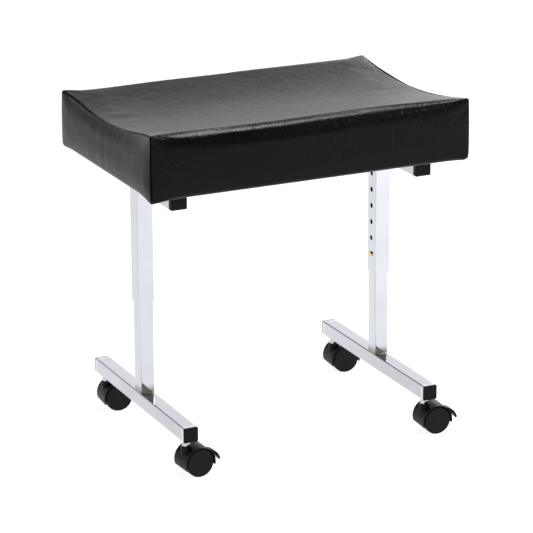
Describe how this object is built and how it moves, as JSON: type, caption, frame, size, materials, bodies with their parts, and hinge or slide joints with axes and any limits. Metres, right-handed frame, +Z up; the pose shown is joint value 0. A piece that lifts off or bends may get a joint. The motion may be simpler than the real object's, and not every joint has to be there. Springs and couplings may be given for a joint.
{
  "type": "pedicure stool",
  "caption": "Low padded rectangular stool: dished black leatherette seat on height-adjustable chrome leg frames with braked twin-wheel castors.",
  "frame": {"origin": "on the floor, midway between the four castor stems", "axes": "+X along the seat's length, -Y is the front, +Z up; the stool stands at its highest setting"},
  "size_m": [0.494, 0.3343, 0.507],
  "materials": {
    "chrome": "polished",
    "zinc_steel": "satin",
    "spring_steel": "satin",
    "brass": "polished",
    "black_plastic": "satin",
    "castor_nylon": "satin",
    "leatherette": "satin",
    "dust_cloth": "matte",
    "foam": "matte",
    "plywood": "matte"
  },
  "bodies": {
    "left_foot": {"left_foot_rail": "chrome", "left_inner_post": "chrome", "left_foot_weld": "chrome", "left_foot_caps": "black_plastic", "left_stem_nuts": "zinc_steel", "left_stem_washers": "black_plastic", "left_front_stem": "chrome", "left_back_stem": "chrome", "left_button_spring": "spring_steel"},
    "top": {"left_upper_rail": "chrome", "left_sleeve": "chrome", "left_upper_weld": "chrome", "left_front_upper_cap": "black_plastic", "left_back_upper_cap": "black_plastic", "right_upper_rail": "chrome", "right_sleeve": "chrome", "right_upper_weld": "chrome", "right_front_upper_cap": "black_plastic", "right_back_upper_cap": "black_plastic", "base_board": "plywood", "foam_pad": "foam", "seat_cover": "leatherette", "dust_cloth": "dust_cloth", "rail_screws": "zinc_steel", "t_nuts": "zinc_steel", "cover_staples": "zinc_steel"},
    "right_foot": {"right_foot_rail": "chrome", "right_inner_post": "chrome", "right_foot_weld": "chrome", "right_foot_caps": "black_plastic", "right_stem_nuts": "zinc_steel", "right_stem_washers": "black_plastic", "right_front_stem": "chrome", "right_back_stem": "chrome", "right_button_spring": "spring_steel"},
    "left_button": {"left_snap_button": "brass"},
    "right_button": {"right_snap_button": "brass"},
    "left_front_castor": {"left_front_hood": "black_plastic", "left_front_axle": "zinc_steel"},
    "left_front_wheel_a": {"left_front_wheel_a": "castor_nylon"},
    "left_front_wheel_b": {"left_front_wheel_b": "castor_nylon"},
    "left_front_brake": {"left_front_brake_lever": "black_plastic"},
    "left_back_castor": {"left_back_hood": "black_plastic", "left_back_axle": "zinc_steel"},
    "left_back_wheel_a": {"left_back_wheel_a": "castor_nylon"},
    "left_back_wheel_b": {"left_back_wheel_b": "castor_nylon"},
    "left_back_brake": {"left_back_brake_lever": "black_plastic"},
    "right_front_castor": {"right_front_hood": "black_plastic", "right_front_axle": "zinc_steel"},
    "right_front_wheel_a": {"right_front_wheel_a": "castor_nylon"},
    "right_front_wheel_b": {"right_front_wheel_b": "castor_nylon"},
    "right_front_brake": {"right_front_brake_lever": "black_plastic"},
    "right_back_castor": {"right_back_hood": "black_plastic", "right_back_axle": "zinc_steel"},
    "right_back_wheel_a": {"right_back_wheel_a": "castor_nylon"},
    "right_back_wheel_b": {"right_back_wheel_b": "castor_nylon"},
    "right_back_brake": {"right_back_brake_lever": "black_plastic"}
  },
  "joints": [
    {"name": "height", "type": "slide", "parent": "left_foot", "child": "top", "axis": [0, 0, 1], "range_m": [-0.125, 0], "deforming": ["left_snap_button"]},
    {"name": "right_height", "type": "slide", "parent": "top", "child": "right_foot", "axis": [0, 0, 1], "range_m": [0, 0.125], "deforming": ["right_snap_button"]},
    {"name": "left_button_press", "type": "slide", "parent": "left_foot", "child": "left_button", "axis": [-1, 0, 0], "range_m": [0, 0.004], "stiffness_N_per_m": 1500, "springref_m": -0.002, "deforming": ["left_button_spring"]},
    {"name": "right_button_press", "type": "slide", "parent": "right_foot", "child": "right_button", "axis": [1, 0, 0], "range_m": [0, 0.004], "stiffness_N_per_m": 1500, "springref_m": -0.002, "deforming": ["right_button_spring"]},
    {"name": "left_front_swivel", "type": "hinge", "parent": "left_foot", "child": "left_front_castor", "pos_m": [-0.191, -0.147, 0.034], "axis": [0, 0, 1], "continuous": true},
    {"name": "left_front_wheel_a_spin", "type": "hinge", "parent": "left_front_castor", "child": "left_front_wheel_a", "pos_m": [-0.17753, -0.14618, 0.0205], "axis": [-0.061, 0.9981, 0], "continuous": true},
    {"name": "left_front_wheel_b_spin", "type": "hinge", "parent": "left_front_castor", "child": "left_front_wheel_b", "pos_m": [-0.17753, -0.14618, 0.0205], "axis": [-0.061, 0.9981, 0], "continuous": true},
    {"name": "left_front_brake", "type": "hinge", "parent": "left_front_castor", "child": "left_front_brake", "pos_m": [-0.16555, -0.14544, 0.0285], "axis": [-0.061, 0.9981, 0], "range_deg": [0, 15]},
    {"name": "left_back_swivel", "type": "hinge", "parent": "left_foot", "child": "left_back_castor", "pos_m": [-0.191, 0.147, 0.034], "axis": [0, 0, 1], "continuous": true},
    {"name": "left_back_wheel_a_spin", "type": "hinge", "parent": "left_back_castor", "child": "left_back_wheel_a", "pos_m": [-0.17753, 0.14606, 0.0205], "axis": [0.0698, 0.9976, 0], "continuous": true},
    {"name": "left_back_wheel_b_spin", "type": "hinge", "parent": "left_back_castor", "child": "left_back_wheel_b", "pos_m": [-0.17753, 0.14606, 0.0205], "axis": [0.0698, 0.9976, 0], "continuous": true},
    {"name": "left_back_brake", "type": "hinge", "parent": "left_back_castor", "child": "left_back_brake", "pos_m": [-0.16556, 0.14522, 0.0285], "axis": [0.0698, 0.9976, 0], "range_deg": [0, 15]},
    {"name": "right_front_swivel", "type": "hinge", "parent": "right_foot", "child": "right_front_castor", "pos_m": [0.191, -0.147, 0.034], "axis": [0, 0, 1], "continuous": true},
    {"name": "right_front_wheel_a_spin", "type": "hinge", "parent": "right_front_castor", "child": "right_front_wheel_a", "pos_m": [0.20448, -0.14771, 0.0205], "axis": [0.0523, 0.9986, 0], "continuous": true},
    {"name": "right_front_wheel_b_spin", "type": "hinge", "parent": "right_front_castor", "child": "right_front_wheel_b", "pos_m": [0.20448, -0.14771, 0.0205], "axis": [0.0523, 0.9986, 0], "continuous": true},
    {"name": "right_front_brake", "type": "hinge", "parent": "right_front_castor", "child": "right_front_brake", "pos_m": [0.21647, -0.14833, 0.0285], "axis": [0.0523, 0.9986, 0], "range_deg": [0, 15]},
    {"name": "right_back_swivel", "type": "hinge", "parent": "right_foot", "child": "right_back_castor", "pos_m": [0.191, 0.147, 0.034], "axis": [0, 0, 1], "continuous": true},
    {"name": "right_back_wheel_a_spin", "type": "hinge", "parent": "right_back_castor", "child": "right_back_wheel_a", "pos_m": [0.20447, 0.14606, 0.0205], "axis": [0.0698, 0.9976, 0], "continuous": true},
    {"name": "right_back_wheel_b_spin", "type": "hinge", "parent": "right_back_castor", "child": "right_back_wheel_b", "pos_m": [0.20447, 0.14606, 0.0205], "axis": [0.0698, 0.9976, 0], "continuous": true},
    {"name": "right_back_brake", "type": "hinge", "parent": "right_back_castor", "child": "right_back_brake", "pos_m": [0.21644, 0.14522, 0.0285], "axis": [0.0698, 0.9976, 0], "range_deg": [0, 15]}
  ],
  "couplings": [
    {"joint": "right_height", "follows": "height", "ratio": -1}
  ]
}
